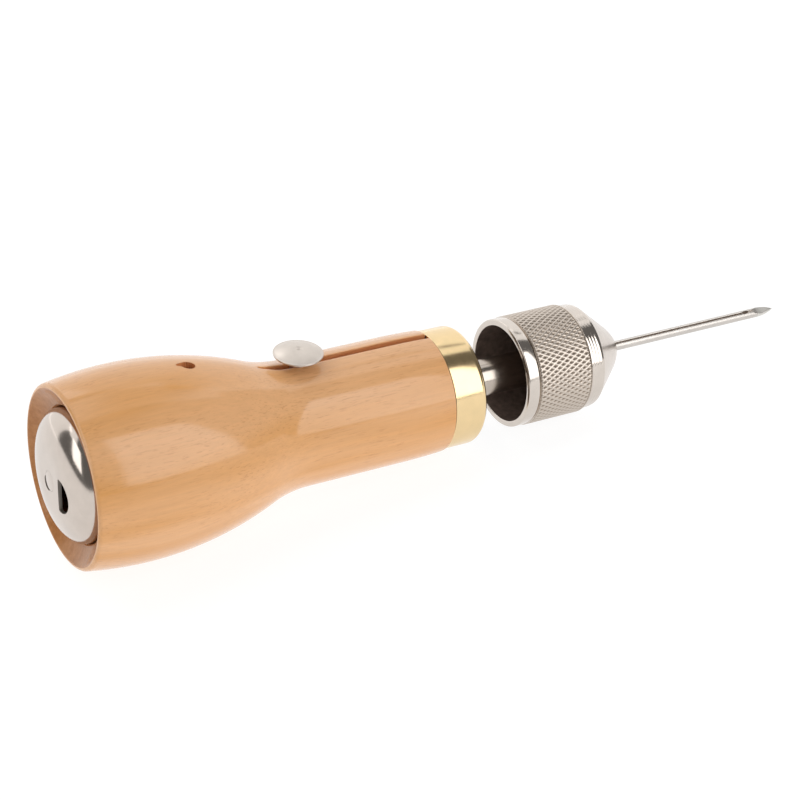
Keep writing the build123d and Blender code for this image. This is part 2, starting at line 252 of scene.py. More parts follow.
def neck(station):
    """Radius of the hollow between the bulb and the neck."""
    return NECK_RADIUS + NECK_CURVE - sqrt(NECK_CURVE**2 - (station - NECK_STATION) ** 2)


def smooth(low, high, value):
    """0 below low, 1 above high and a smooth step between."""
    t = max(0.0, min(1.0, (value - low) / (high - low)))
    return t * t * (3 - 2 * t)


# --- meshes --------------------------------------------------------------------------------------
def skin(name, rings, closed, tag=None):
    """A mesh over rings of points, all with the same count; a ring of one point is a pole."""
    points = [p for ring in rings for p in ring]
    starts = [0]
    for ring in rings:
        starts.append(starts[-1] + len(ring))
    count = max(len(ring) for ring in rings)
    faces, tags = [], []
    pairs = list(zip(range(len(rings)), range(1, len(rings))))
    if closed:
        pairs.append((len(rings) - 1, 0))
    for i, j in pairs:
        one, two = len(rings[i]) == 1, len(rings[j]) == 1
        if one and two:
            continue
        for k in range(count):
            n = (k + 1) % count
            a, b = starts[i] + (0 if one else k), starts[i] + (0 if one else n)
            c, d = starts[j] + (0 if two else n), starts[j] + (0 if two else k)
            faces.append((a, c, d) if one else (a, b, c) if two else (a, b, c, d))
            tags.append(tag(i, k) if tag else 0)
    mesh = bpy.data.meshes.new(name)
    mesh.from_pydata([(x * MM + RIM_X, y * MM, z * MM) for x, y, z in points], [], faces)
    mesh.polygons.foreach_set("material_index", tags)
    return mesh


def settle(mesh, angle=SHARP_ANGLE):
    """Outward normals, smooth shading and sharp corners."""
    shape = bmesh.new()
    shape.from_mesh(mesh)
    bmesh.ops.remove_doubles(shape, verts=shape.verts, dist=1e-7)
    bmesh.ops.recalc_face_normals(shape, faces=shape.faces)
    shape.to_mesh(mesh)
    shape.free()
    mesh.shade_smooth()
    mesh.set_sharp_from_angle(angle=radians(angle))


def dress(mesh, materials):
    """Give a mesh its materials; each face keeps its tag as its slot."""
    tags = [face.material_index for face in mesh.polygons]
    mesh.materials.clear()
    for material in materials:
        mesh.materials.append(material)
    mesh.polygons.foreach_set("material_index", tags)


def piece(mesh, body, node, slot, *materials):
    """A visible piece that stands for a CAD node and rides on its body."""
    dress(mesh, materials)
    made = bpy.data.objects.new(node + "_looks", mesh)
    bpy.context.scene.collection.objects.link(made)
    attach(made, body)
    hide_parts(node)


def turned(name, outline, steps=160, displace=None, tag=None):
    """A closed outline turned about the tool axis; displace(station, radius, angle) moves the skin."""
    rings = []
    for station, radius in outline:
        if radius < POLE:
            rings.append([(station, 0.0, 0.0)])
            continue
        ring = []
        for k in range(steps):
            angle = 2 * pi * k / steps
            size = displace(station, radius, angle) if displace else radius
            ring.append((station, size * sin(angle), size * cos(angle)))
        rings.append(ring)
    mesh = skin(name, rings, True, tag)
    settle(mesh)
    return mesh


def cut(mesh, cutter, materials, inside):
    """The mesh with the cutter's shape taken out; the cut faces take the material inside."""
    body = bpy.data.objects.new("body", mesh)
    tool = bpy.data.objects.new("tool", cutter)
    for thing in (body, tool):
        bpy.context.scene.collection.objects.link(thing)
    dress(mesh, materials)
    cutter.materials.append(inside)
    change = body.modifiers.new("cut", "BOOLEAN")
    change.object = tool
    change.solver = "EXACT"
    change.material_mode = "TRANSFER"
    depsgraph = bpy.context.evaluated_depsgraph_get()
    made = bpy.data.meshes.new_from_object(body.evaluated_get(depsgraph))
    for thing in (body, tool):
        bpy.data.objects.remove(thing)
    made.shade_smooth()
    made.set_sharp_from_angle(angle=radians(SHARP_ANGLE))
    return made


def upright_rod(station, radius, low, high, across=1.0, steps=40):
    """A vertical rod mesh over a station, stretched along the tool by the factor across."""
    angles = [2 * pi * k / steps for k in range(steps)]
    rings = [[(station, 0.0, low)]]
    for z in (low, high):
        rings.append([(station + radius * across * cos(t), radius * sin(t), z) for t in angles])
    rings.append([(station, 0.0, high)])
    mesh = skin("rod", rings, False)
    settle(mesh)
    return mesh


# --- handle --------------------------------------------------------------------------------------
def slot_floor(station):
    """Radius of the slot's floor; behind SLOT_REAR the slot has run out through the surface."""
    if station < SLOT_REAR:
        return 2 * BELLY_RADIUS
    if station >= SLOT_LEVEL:
        return SLOT_FLOOR
    run, rise = SLOT_LEVEL - SLOT_REAR, neck(SLOT_REAR) - SLOT_FLOOR
    saw = (run**2 + rise**2) / (2 * rise)
    return SLOT_FLOOR + saw - sqrt(saw**2 - (SLOT_LEVEL - station) ** 2)


ROUND_COLUMNS = 200
EDGE_COLUMNS = 4
WALL_COLUMNS = 6
FLOOR_COLUMNS = 6
SLOT_EDGE = 0.22
WALL_LEAN = 1e-3                        # share by which the slot widens up to its edge
WIDEST_NOTCH = 0.9                      # share of a ring's radius, for the small rings at the axis


def handle_ring(station, radius):
    """One cross-section of the handle: a circle with the slot's notch at +Z."""
    widen = smooth(SLOT_REAR, SLOT_REAR + SLOT_TAIL_LENGTH, station)
    half = SLOT_HALF * (SLOT_TAIL + (1 - SLOT_TAIL) * widen)
    span = asin(min(WIDEST_NOTCH, half / radius))
    level = slot_floor(station)
    depth = max(0.0, radius * cos(span) - level)
    edge = min(SLOT_EDGE, depth / 2)
    side = []                           # from the floor's middle out to the round surface, y >= 0
    for k in range(FLOOR_COLUMNS):
        y = half * k / FLOOR_COLUMNS
        side.append((y, min(sqrt(radius**2 - y**2), max(level, 0.0))))
    for k in range(WALL_COLUMNS):
        z = radius * cos(span) - depth + (depth - edge) * k / WALL_COLUMNS
        side.append((half * (1 + (k / WALL_COLUMNS) * WALL_LEAN), z))
    corner = Vector((half, radius * cos(span)))
    low = Vector((half, radius * cos(span) - edge))
    out = span + edge / radius
    high = Vector((radius * sin(out), radius * cos(out)))
    for k in range(EDGE_COLUMNS):
        t = k / EDGE_COLUMNS
        p = low * (1 - t) ** 2 + corner * 2 * t * (1 - t) + high * t**2
        side.append((p.x, p.y))
    arcs = [out + (2 * pi - 2 * out) * k / ROUND_COLUMNS for k in range(ROUND_COLUMNS + 1)]
    ring = [(station, y, z) for y, z in side]
    ring += [(station, radius * sin(t), radius * cos(t)) for t in arcs]
    ring += [(station, -y, z) for y, z in reversed(side[1:])]
    return ring


def handle_outline():
    """The turned outline of the handle, from the bore's floor round to the shank's hole."""
    front = FERRULE_START - WOOD_EDGE
    edge, dish = 0.25, 0.2              # the mouth's softened edges, and how far it is hollowed
    points = divided((BORE_END, 0.0), (BORE_END, BORE_RADIUS), 4)
    points += divided((BORE_END, BORE_RADIUS), (BORE_MOUTH + 0.4, BORE_RADIUS), 3)[1:]
    points += arc(
        (BORE_MOUTH, BORE_RADIUS + edge),
        (BORE_MOUTH * 0.55, (BORE_RADIUS + RIM_RADIUS) / 2 + dish),
        (0.06, RIM_RADIUS - edge),
        14,
    )
    points += arc(
        (0.0, RIM_RADIUS),
        (RIM_ROUND * 0.28, (RIM_RADIUS + belly(RIM_ROUND)) / 2 + 0.17),
        (RIM_ROUND, belly(RIM_ROUND)),
        6,
    )
    for start, end, count, profile in (
        (RIM_ROUND, TOUCH_STATION, 70, belly),
        (TOUCH_STATION, NECK_STATION, 30, neck),
    ):
        stations = [start + (end - start) * k / count for k in range(1, count + 1)]
        points += [(station, profile(station)) for station in stations]
    points += divided((NECK_STATION, NECK_RADIUS), (TAPER_STATION, NECK_RADIUS), 0.8)[1:]
    points += arc(
        (TAPER_STATION, NECK_RADIUS),
        (
            (TAPER_STATION + front) / 2,
            NECK_RADIUS - (NECK_RADIUS - HANDLE_FRONT_RADIUS) / 4,
        ),
        (front, HANDLE_FRONT_RADIUS),
        12,
    )[1:]
    points += [
        (front + 0.1, HANDLE_FRONT_RADIUS - 0.12),
        (FERRULE_START - 0.02, SPIGOT_RADIUS + 0.05),
        (WOOD_END - 0.4, SPIGOT_RADIUS),
        (WOOD_END, SPIGOT_RADIUS - 0.4),
    ]
    points += divided((WOOD_END, SPIGOT_RADIUS - 0.4), (WOOD_END, SHANK_RADIUS), 2)[1:]
    points += [(SHANK_START, SHANK_RADIUS), (SHANK_START, 0.0)]
    return points


def make_handle(varnished, end_grain_and_shade, raw, painted_shade):
    """The beech handle with its bore, sawn thread slot and thread hole."""
    outline = handle_outline()
    rings = [
        [(station, 0.0, 0.0)] if radius < POLE else handle_ring(station, radius)
        for station, radius in outline
    ]
    slot_columns = FLOOR_COLUMNS + WALL_COLUMNS
    total = max(len(ring) for ring in rings)
    outside, mouth, bare, joint = range(4)

    def tag(i, k):
        station, radius = outline[i]
        # the groove at the ferrule joint takes painted shade
        if station > FERRULE_START - WOOD_EDGE + 0.05:
            return joint
        in_columns = k < slot_columns or k >= total - slot_columns
        in_slot = in_columns and station > SLOT_REAR + 0.3 and radius > slot_floor(station)
        in_bore = station <= BORE_END and radius <= BORE_RADIUS + 0.01
        if in_slot or in_bore:
            return bare
        # the dished mouth takes the end grain colour, which is partly painted shade
        return mouth if radius < RIM_RADIUS and station < BORE_MOUTH + 0.4 else outside

    mesh = skin("handle_wood", rings, False, tag)
    settle(mesh)
    surfaces = (varnished, end_grain_and_shade, raw, painted_shade)
    mesh = cut(mesh, thread_hole(), surfaces, raw)
    mesh = cut(mesh, thread_wear(), surfaces, raw)
    piece(mesh, "handle", "handle", "wood", *surfaces)


def thread_hole():
    """The cutter for the thread hole, ribbed by the drill."""
    steps, levels, overrun = 72, 12, 3
    ribs, rib_depth, rib_twist = 18, 0.09, 0.5
    low, high = BORE_RADIUS - overrun, BELLY_RADIUS + overrun
    rings = [[(THREAD_HOLE_STATION, -THREAD_HOLE_SIDE, low)]]
    for level in range(levels + 1):
        z = low + (high - low) * level / levels
        ring = []
        for k in range(steps):
            t = 2 * pi * k / steps
            size = THREAD_HOLE_RADIUS - rib_depth * (0.5 + 0.5 * cos(ribs * t + rib_twist * level))
            ring.append((THREAD_HOLE_STATION + size * cos(t), size * sin(t) - THREAD_HOLE_SIDE, z))
        rings.append(ring)
    rings.append([(THREAD_HOLE_STATION, -THREAD_HOLE_SIDE, high)])
    mesh = skin("thread_hole", rings, False)
    settle(mesh)
    return mesh


def thread_wear():
    """The cutter for the shallow groove that the thread has worn behind its hole."""
    length, width, depth = 2.6, 0.85, 0.55
    behind, aside = 0.6, 0.35           # its middle, seen from the hole's
    middle, side, top = THREAD_HOLE_STATION - behind, THREAD_HOLE_SIDE - aside, belly(THREAD_HOLE_STATION)
    count, steps = 12, 24
    rings = [[(middle - length, -side, top)]]
    for i in range(1, count):
        t = pi * i / count
        size = sin(t)
        ring = []
        for k in range(steps):
            a = 2 * pi * k / steps
            across, up = width * size * sin(a), depth * size * cos(a)
            ring.append((middle - length * cos(t), across - side, top + up))
        rings.append(ring)
    rings.append([(middle + length, -side, top)])
    mesh = skin("thread_wear", rings, False)
    settle(mesh)
    return mesh


# --- metal pieces ----------------------------------------------------------------------------------
def make_ferrule(brass):
    """The brass ring with its rounded lip."""
    lip = FERRULE_RADIUS - FERRULE_ROUND
    outline = eased(
        [
            (WOOD_END, lip, 0),
            (WOOD_END, SPIGOT_RADIUS - 0.4, 0),
            (WOOD_END - 0.4, SPIGOT_RADIUS, 0),
            (FERRULE_START, SPIGOT_RADIUS, 0.1),
            (FERRULE_START, FERRULE_RADIUS, 0.12),
            (FERRULE_END, FERRULE_RADIUS, FERRULE_ROUND),
            (FERRULE_END, lip - 0.05, 0),
        ],
        steps=10,
    )
    piece(turned("ferrule_ring", outline, 256), "handle", "ferrule", "brass", brass)


def make_post(steel):
    """Flange, stem and threaded end of the needle post."""

    def thread(station, radius, angle):
        """The turned thread, fading in after the relief and out at the post's end."""
        ramp = smooth(RELIEF_END + 0.3, RELIEF_END + 1.6, station)
        ramp *= 1 - smooth(POST_END - 1.2, POST_END - 0.2, station)
        if radius < THREAD_RADIUS - 0.01 or station < RELIEF_END:
            return radius
        turn = (station / THREAD_PITCH + angle / (2 * pi)) % 1.0
        height = min(1.0, THREAD_CREST * abs(2 * turn - 1))
        return radius - THREAD_DEPTH * ramp * (1 - height)

    outline = eased(
        [
            (SHANK_START, 0, 0),
            (SHANK_START, SHANK_RADIUS, 0.3),
            (WOOD_END, SHANK_RADIUS, 0),
            (WOOD_END, FLANGE_RADIUS, 0.1),
            (FLANGE_END, FLANGE_RADIUS, 0.35),
            (FLANGE_END, STEM_ROOT_RADIUS, 0.25),
            (STEM_FLARE_END, STEM_RADIUS, 0),
            (RELIEF_START, STEM_RADIUS, 0.2),
            (RELIEF_START, RELIEF_RADIUS, 0.2),
            (RELIEF_END, RELIEF_RADIUS, 0),
        ]
    )
    outline += divided((RELIEF_END + 0.3, THREAD_RADIUS), (POST_END - 0.3, THREAD_RADIUS), 0.11)
    outline += [
        (POST_END, THREAD_RADIUS - 0.4),
        (POST_END, SOCKET_RADIUS),
        (SOCKET_START, SOCKET_RADIUS),
        (SOCKET_START, 0),
    ]
    mesh = turned("needle_post_steel", outline, 120, thread)
    piece(mesh, "handle", "needle_post", "steel", steel)


def knurl(station, radius, angle):
    """Two crossing families of raised helical ridges between the cap's bands."""
    if not KNURL_START < station < KNURL_END or radius < KNURL_RADIUS - 0.2:
        return radius
    lead = KNURL_TEETH * tan(KNURL_HELIX) / (2 * pi * KNURL_RADIUS)
    along = (station - KNURL_START) * lead
    around = angle * KNURL_TEETH / (2 * pi)
    ridges = []
    for phase in (around + along, around - along):
        away = abs(2 * ((phase + 0.5) % 1.0) - 1)
        ridges.append(1 - smooth(0.1, 1.0, away))
    fade = smooth(KNURL_START, KNURL_START + 0.5, station)
    fade *= 1 - smooth(KNURL_END - 0.5, KNURL_END, station)
    height = max(ridges) * fade
    return KNURL_RADIUS - KNURL_DEPTH * (1 - height)


def make_cap(plate, knurled, satin, cup_shade):
    """The chuck cap: thin rim, cup with painted shade inside, knurl, ridged front band and rounded nose.
    """
    rear = eased(
        [
            (CUP_END, CAP_THREAD_RADIUS, 0),
            (CUP_END, CUP_RADIUS, 0.5),
            (CAP_RIM, CUP_RADIUS, 0.15),
            (CAP_RIM, CAP_RADIUS, 0.3),
            (KNURL_START - 0.25, CAP_RADIUS, 0.1),
            (KNURL_START - 0.12, CAP_RADIUS - 0.3, 0),
        ]
    )
    step = 2 * pi * KNURL_RADIUS / KNURL_TEETH / tan(KNURL_HELIX) / 10
    grip = divided((KNURL_START, KNURL_RADIUS), (KNURL_END, KNURL_RADIUS), step)
    band = [(KNURL_END + 0.12, FRONT_BAND_RADIUS - 0.25)]
    ridge_count, ridge_steps, ridge_height = 4, 6, 0.045
    first, last, count = KNURL_END + 0.3, NOSE_START - 0.4, ridge_count * ridge_steps
    for k in range(count + 1):
        wave = abs(sin(pi * k / ridge_steps))
        station = first + (last - first) * k / count
        band.append((station, FRONT_BAND_RADIUS - ridge_height * (1 - sqrt(wave))))
    front = eased(
        [
            (last, FRONT_BAND_RADIUS - ridge_height, 0),
            (NOSE_START, FRONT_BAND_RADIUS - 0.1, 0.3),
            (NOSE_CONE_END, NOSE_CONE_RADIUS, 0),
        ]
    )
    nose = arc(
        (NOSE_CONE_END, NOSE_CONE_RADIUS),
        (NOSE_END - 1.0, NOSE_TIP_RADIUS + 1.5),
        (NOSE_END, NOSE_TIP_RADIUS),
        16,
    )[1:]
    mouth = [
        (NOSE_END, NEEDLE_HOLE_RADIUS + 0.15),
        (NOSE_END - 0.15, NEEDLE_HOLE_RADIUS),
        (SEAT, NEEDLE_HOLE_RADIUS),
        (SEAT, CAP_THREAD_RADIUS),
    ]
    outline = rear + grip + band + front + nose + mouth
    bands, knurling, cone, cup = range(4)

    def tag(i, k):
        station, radius = outline[i]
        # the cup's inside takes painted shade
        if radius < CUP_RADIUS + 0.01 and station < CUP_END + 0.01:
            return cup
        if station > NOSE_START - 0.1:
            return cone
        return knurling if KNURL_START - 0.01 < station < KNURL_END else bands

    mesh = turned("chuck_cap_shell", outline, KNURL_TEETH * 10, knurl, tag)
    piece(mesh, "chuck_cap", "chuck_cap", "nickel", plate, knurled, satin, cup_shade)


NEEDLE_COLUMNS = 96


def needle_ring(station, radius):
    """A needle cross-section: thread groove towards +Z, scarf on the other side, spear point."""
    groove = GROOVE_DEPTH * smooth(GROOVE_START - GROOVE_EASE, GROOVE_START + GROOVE_EASE, station)
    groove *= 1 - smooth(EYE_STATION, EYE_STATION + GROOVE_RUNOUT, station)
    middle, half = (SCARF_START + SCARF_END) / 2, (SCARF_END - SCARF_START) / 2
    scarf = SCARF_DEPTH * max(0.0, 1 - ((station - middle) / half) ** 2)
    spear = smooth(EYE_STATION + SPEAR_EASE, POINT_START + SPEAR_EASE, station)
    flat = NEEDLE_RADIUS * (1 - (1 - POINT_FLAT) * spear)
    ring = []
    for k in range(NEEDLE_COLUMNS):
        angle = 2 * pi * k / NEEDLE_COLUMNS
        y, z = radius * sin(angle), radius * cos(angle)
        if z > 0:
            z -= groove * (1 - smooth(GROOVE_WIDTH / 2 - 0.12, GROOVE_WIDTH / 2 + 0.03, abs(y)))
        z = max(z, scarf - NEEDLE_RADIUS)
        z = max(-flat, min(flat, z))
        ring.append(
            (
                station,
                y * cos(NEEDLE_TURN) - z * sin(NEEDLE_TURN),
                y * sin(NEEDLE_TURN) + z * cos(NEEDLE_TURN),
            )
        )
    return ring


def make_needle(steel, recess_shade, ground):
    """The needle: butt, grooved shaft, eye, scarf and ground spear point."""
    outline = [(BUTT_START, 0.0), (BUTT_START, BUTT_RADIUS - 0.2), (BUTT_START + 0.2, BUTT_RADIUS)]
    outline += divided((BUTT_START + 0.4, BUTT_RADIUS), (BUTT_END - 0.1, BUTT_RADIUS), 1)
    outline += [(BUTT_END, BUTT_RADIUS - 0.1), (BUTT_END, NEEDLE_RADIUS)]
    outline += divided((BUTT_END + 0.1, NEEDLE_RADIUS), (SCARF_START, NEEDLE_RADIUS), 0.8)
    outline += divided((SCARF_START, NEEDLE_RADIUS), (POINT_START, NEEDLE_RADIUS), 0.25)[1:]
    outline += arc(
        (POINT_START, NEEDLE_RADIUS),
        ((POINT_START + NEEDLE_TIP) / 2, NEEDLE_RADIUS * POINT_BELLY),
        (NEEDLE_TIP, 0.06),
        24,
    )[1:]
    outline.append((NEEDLE_TIP, 0.0))
    rings = [
        [(station, 0.0, 0.0)] if radius < POLE else needle_ring(station, radius)
        for station, radius in outline
    ]
    # the groove's floor and the eye's walls take painted shade
    shaft, groove_floor, spear = range(3)

    def tag(i, k):
        station = outline[i][0]
        if station > POINT_START:
            return spear
        angle = 2 * pi * (k + 0.5) / NEEDLE_COLUMNS
        in_groove = cos(angle) > 0 and NEEDLE_RADIUS * abs(sin(angle)) < GROOVE_WIDTH / 2
        grooved = GROOVE_START < station < EYE_STATION + 2
        return groove_floor if grooved and in_groove else shaft

    mesh = skin("needle_steel", rings, False, tag)
    settle(mesh, 40)
    reach = 3                           # past the shaft on both sides
    eye = upright_rod(EYE_STATION, EYE_WIDTH / 2, -reach, reach, EYE_LENGTH / EYE_WIDTH)
    eye.transform(Matrix.Rotation(NEEDLE_TURN, 4, "X"))
    surfaces = (steel, recess_shade, ground)
    mesh = cut(mesh, eye, surfaces, recess_shade)
    piece(mesh, "needle", "needle", "needle_steel", *surfaces)


def make_stud(nickel):
    """The domed tension stud on its shank, leaning a little, with a turned spiral at its middle."""
    rim, top = 0.3, STUD_HIGH - 0.06
    rise = top - STUD_HEAD_EDGE
    size = (STUD_HEAD_RADIUS**2 + rise**2) / (2 * rise)
    outline = [(STUD_LOW, 0.0), (STUD_LOW, STUD_SHANK_RADIUS - 0.2)]
    outline += [(STUD_LOW + 0.2, STUD_SHANK_RADIUS), (STUD_HEAD_BOTTOM, STUD_SHANK_RADIUS)]
    outline += eased(
        [
            (STUD_HEAD_BOTTOM, STUD_SHANK_RADIUS, 0),
            (STUD_HEAD_EDGE - 0.25, STUD_HEAD_RADIUS, 0.12),
            (STUD_HEAD_EDGE + 0.1, STUD_HEAD_RADIUS, 0.1),
            (STUD_HEAD_EDGE + 0.16, STUD_HEAD_RADIUS - rim, 0),
        ]
    )[1:]
    rings = 110
    for k in range(1, rings + 1):
        radius = (STUD_HEAD_RADIUS - rim) * (1 - k / rings)
        outline.append((top - size + sqrt(size**2 - radius**2), radius))
    mesh = turned("tension_stud_head", outline, 96)
    for vertex in mesh.vertices:
        station = vertex.co.x - RIM_X
        radius = hypot(vertex.co.y, vertex.co.z) / MM
        if station > STUD_HEAD_EDGE * MM and 0.01 < radius < SPIRAL_RADIUS:
            turn = radius / SPIRAL_PITCH - atan2(vertex.co.y, vertex.co.z) / (2 * pi)
            fade = smooth(0, 0.2, radius) * (1 - smooth(SPIRAL_RADIUS - 0.3, SPIRAL_RADIUS, radius))
            vertex.co.x -= SPIRAL_DEPTH * fade * (0.5 - 0.5 * cos(2 * pi * turn)) * MM
    here = Vector((RIM_X, 0, 0))
    pivot = Matrix.Translation(here + Vector((STUD_STATION * MM, 0, NECK_RADIUS * MM)))
    lean = pivot @ Matrix.Rotation(STUD_LEAN, 4, "X") @ pivot.inverted()
    stand = Matrix.Translation(here + Vector((STUD_STATION * MM, 0, 0)))
    stand @= Matrix.Rotation(-pi / 2, 4, "Y") @ Matrix.Translation(-here)
    mesh.transform(lean @ stand)
    piece(mesh, "handle", "tension_stud", "nickel", nickel)


def dome(radius, gap):
    """Station of the flange's domed sheet at a radius; gap is 0 outside and SHEET inside."""
    reach = max(0.0, min(1.0, (radius - CROWN_FLAT) / (REEL_RADIUS - gap - CROWN_FLAT)))
    rise = SKIRT_START - CROWN - gap
    return SKIRT_START - rise * sqrt(1 - reach**DOME_POWER)


def make_outer_flange(nickel, sheared):
    """The bobbin's domed outer flange with its skirt, half-moon hole and crescent at the spindle."""
    steps = 48
    spread = [sin(pi / 2 * k / steps) for k in range(steps + 1)]
    outer = [CROWN_FLAT + (REEL_RADIUS - CROWN_FLAT) * t for t in spread]
    inner = [CROWN_FLAT + (REEL_RADIUS - SHEET - CROWN_FLAT) * t for t in spread]
    outline = [(CROWN + SHEET, SPINDLE_HOLE), (CROWN, SPINDLE_HOLE)]
    outline += [(dome(r, 0), r) for r in outer]
    outline += eased(
        [
            (SKIRT_START + 0.2, REEL_RADIUS, 0),
            (SKIRT_END, REEL_RADIUS, 0.2),
            (SKIRT_END, REEL_RADIUS - SHEET, 0.2),
            (SKIRT_START + 0.2, REEL_RADIUS - SHEET, 0),
        ]
    )
    outline += [(dome(r, SHEET), r) for r in reversed(inner)]
    mesh = turned("outer_flange_sheet", outline, 256)
    mesh = cut(mesh, punch(half_moon(), "half_moon"), (nickel, sheared), sheared)
    mesh = cut(mesh, punch(crescent(), "crescent"), (nickel, sheared), sheared)
    piece(mesh, "bobbin", "bobbin_outer_flange", "nickel", nickel, sheared)


def half_moon():
    """The half-moon hole's (y, z) outline: a straight edge and a bow, with rounded corners."""
    middle = (HALF_MOON_LOW + HALF_MOON_HIGH) / 2
    low, high = (HALF_MOON_LOW, HALF_MOON_EDGE), (HALF_MOON_HIGH, HALF_MOON_EDGE)
    trim = 3                            # points of the bow that each rounding takes the place of
    bow = arc(low, (middle, HALF_MOON_CROWN), high, 28)[trim:-trim]
    seam = [(middle, HALF_MOON_EDGE, 0)]
    corners = [(*low, HALF_MOON_ROUND)] + [(*place, 0) for place in bow] + [(*high, HALF_MOON_ROUND)]
    return [(y, z) for z, y in eased(seam + corners + seam, 5)[1:]]


def crescent():
    """The (y, z) outline of the open crescent beside the spindle's end."""
    first, last = radians(CRESCENT_FIRST), radians(CRESCENT_LAST)
    steps, fullness, lap = 20, 0.7, 0.02
    low = CORE_BORE - 0.1
    inner, outer = [], []
    for k in range(steps + 1):
        angle = first + (last - first) * k / steps
        high = CORE_BORE + lap + CRESCENT_WIDTH * sin(pi * k / steps) ** fullness
        inner.append((low * sin(angle), low * cos(angle)))
        outer.append((high * sin(angle), high * cos(angle)))
    return inner + outer[::-1]


def punch(outline, name):
    """A cutter that reaches through the flange's sheet along the tool axis."""
    outside, inside = CROWN - 2, CROWN + SHEET + 1.4
    mesh = bpy.data.meshes.new(name)
    shape = bmesh.new()
    ends = []
    for station in (outside, inside):
        ends.append([shape.verts.new((station * MM + RIM_X, y * MM, z * MM)) for y, z in outline])
    count = len(outline)
    shape.faces.new(ends[0])
    shape.faces.new(ends[1][::-1])
    for k in range(count):
        n = (k + 1) % count
        shape.faces.new((ends[0][k], ends[0][n], ends[1][n], ends[1][k]))
    shape.to_mesh(mesh)
    shape.free()
    settle(mesh)
    return mesh


def make_core(nickel, painted_shade):
    """The bobbin's core tube; its end, seen through the crescent, is darkened as painted shade."""
    outline = eased(
        [
            (CORE_START, CORE_BORE, 0),
            (CORE_START, CORE_RADIUS, 0),
            (CORE_END, CORE_RADIUS, 0),
            (CORE_END, CORE_BORE, 0),
        ]
    )
    # the end face takes painted shade, seen through the crescent
    mesh = turned("core_tube", outline, 96, tag=lambda i, k: 1 if i == 0 else 0)
    piece(mesh, "bobbin", "bobbin_core", "nickel", nickel, painted_shade)


def make_inner_flange(nickel):
    """The flat inner flange of the bobbin."""
    outline = eased(
        [
            (REEL_FLANGE, CORE_BORE, 0),
            (REEL_FLANGE, REEL_RADIUS, 0.35),
            (REEL_FLANGE_END, REEL_RADIUS, 0.35),
            (REEL_FLANGE_END, CORE_BORE, 0),
        ]
    )
    mesh = turned("inner_flange_disc", outline, 192)
    piece(mesh, "bobbin", "bobbin_inner_flange", "nickel", nickel)


def make_spindle(steel):
    """The spindle that the bobbin turns on, flush in the flange's crown."""
    outline = eased(
        [
            (CROWN, 0, 0),
            (CROWN, SPINDLE_RADIUS, 0.03),
            (SPINDLE_HEAD, SPINDLE_RADIUS, 0),
            (SPINDLE_HEAD, CORE_RADIUS, 0.1),
            (SPINDLE_END, CORE_RADIUS, 0.4),
            (SPINDLE_END, 0, 0),
        ]
    )
    mesh = turned("spindle_rod", outline, 96)
    piece(mesh, "bobbin_spindle", "bobbin_spindle", "steel", steel)


# --- materials -------------------------------------------------------------------------------------
MIX_FACTOR, MIX_FIRST, MIX_SECOND = 0, 6, 7     # the colour sockets of Blender's Mix node
MIX_RESULT = 2


class Nodes:
    """A material's node tree with short calls."""

    def __init__(self, name):
        self.material = bpy.data.materials.new(name)
        self.material.use_nodes = True
        self.tree = self.material.node_tree
        self.shader = self.tree.nodes["Principled BSDF"]

    def add(self, kind, **settings):
        """A new shader node with some of its properties set."""
        made = self.tree.nodes.new("ShaderNode" + kind)
        for key, value in settings.items():
            setattr(made, key, value)
        return made

    def link(self, source, target):
        self.tree.links.new(source, target)

    def place(self, scale):
        """Object coordinates in units of one over scale metres, along X, Y and Z."""
        coordinates = self.add("TexCoord")
        mapping = self.add("Mapping")
        mapping.inputs["Scale"].default_value = scale
        self.link(coordinates.outputs["Object"], mapping.inputs["Vector"])
        return mapping.outputs["Vector"]

    def noise(self, scale, detail=3.0, rough=0.5, warp=0.0):
        """Noise with about scale cells per metre along X, Y and Z."""
        texture = self.add("TexNoise")
        texture.inputs["Scale"].default_value = 1.0
        texture.inputs["Detail"].default_value = detail
        texture.inputs["Roughness"].default_value = rough
        texture.inputs["Distortion"].default_value = warp
        self.link(self.place(scale), texture.inputs["Vector"])
        return texture.outputs["Fac"]

    def ramp(self, source, *stops):
        """A colour ramp with (place, colour) stops."""
        made = self.add("ValToRGB")
        while len(made.color_ramp.elements) < len(stops):
            made.color_ramp.elements.new(0.5)
        for element, (place, colour) in zip(made.color_ramp.elements, stops):
            element.position = place
            grey = isinstance(colour, (int, float))
            element.color = (colour, colour, colour, 1) if grey else (*colour, 1)
        self.link(source, made.inputs["Fac"])
        return made.outputs["Color"]

    def mix(self, kind, factor, one, two):
        """Two colours mixed; each value is a number, a colour or a socket."""
        made = self.add("Mix", data_type="RGBA", blend_type=kind)
        for socket, value in ((MIX_FACTOR, factor), (MIX_FIRST, one), (MIX_SECOND, two)):
            if isinstance(value, (int, float)):
                made.inputs[socket].default_value = value
            elif isinstance(value, tuple):
                made.inputs[socket].default_value = (*value, 1)
            else:
                self.link(value, made.inputs[socket])
        return made.outputs[MIX_RESULT]

    def bump(self, height, depth, target="Normal", before=None):
        """A bump of depth metres on one of the shader's normals, over an earlier bump."""
        made = self.add("Bump")
        made.inputs["Strength"].default_value = 1.0
        made.inputs["Distance"].default_value = depth
        self.link(height, made.inputs["Height"])
        if before is not None:
            self.link(before, made.inputs["Normal"])
        self.link(made.outputs["Normal"], self.shader.inputs[target])
        return made.outputs["Normal"]

    def set(self, **values):
        """The shader's inputs by name, with _ for a space; a tuple is a colour."""
        for name, value in values.items():
            socket = self.shader.inputs[name.replace("_", " ")]
            socket.default_value = (*value, 1) if isinstance(value, tuple) else value


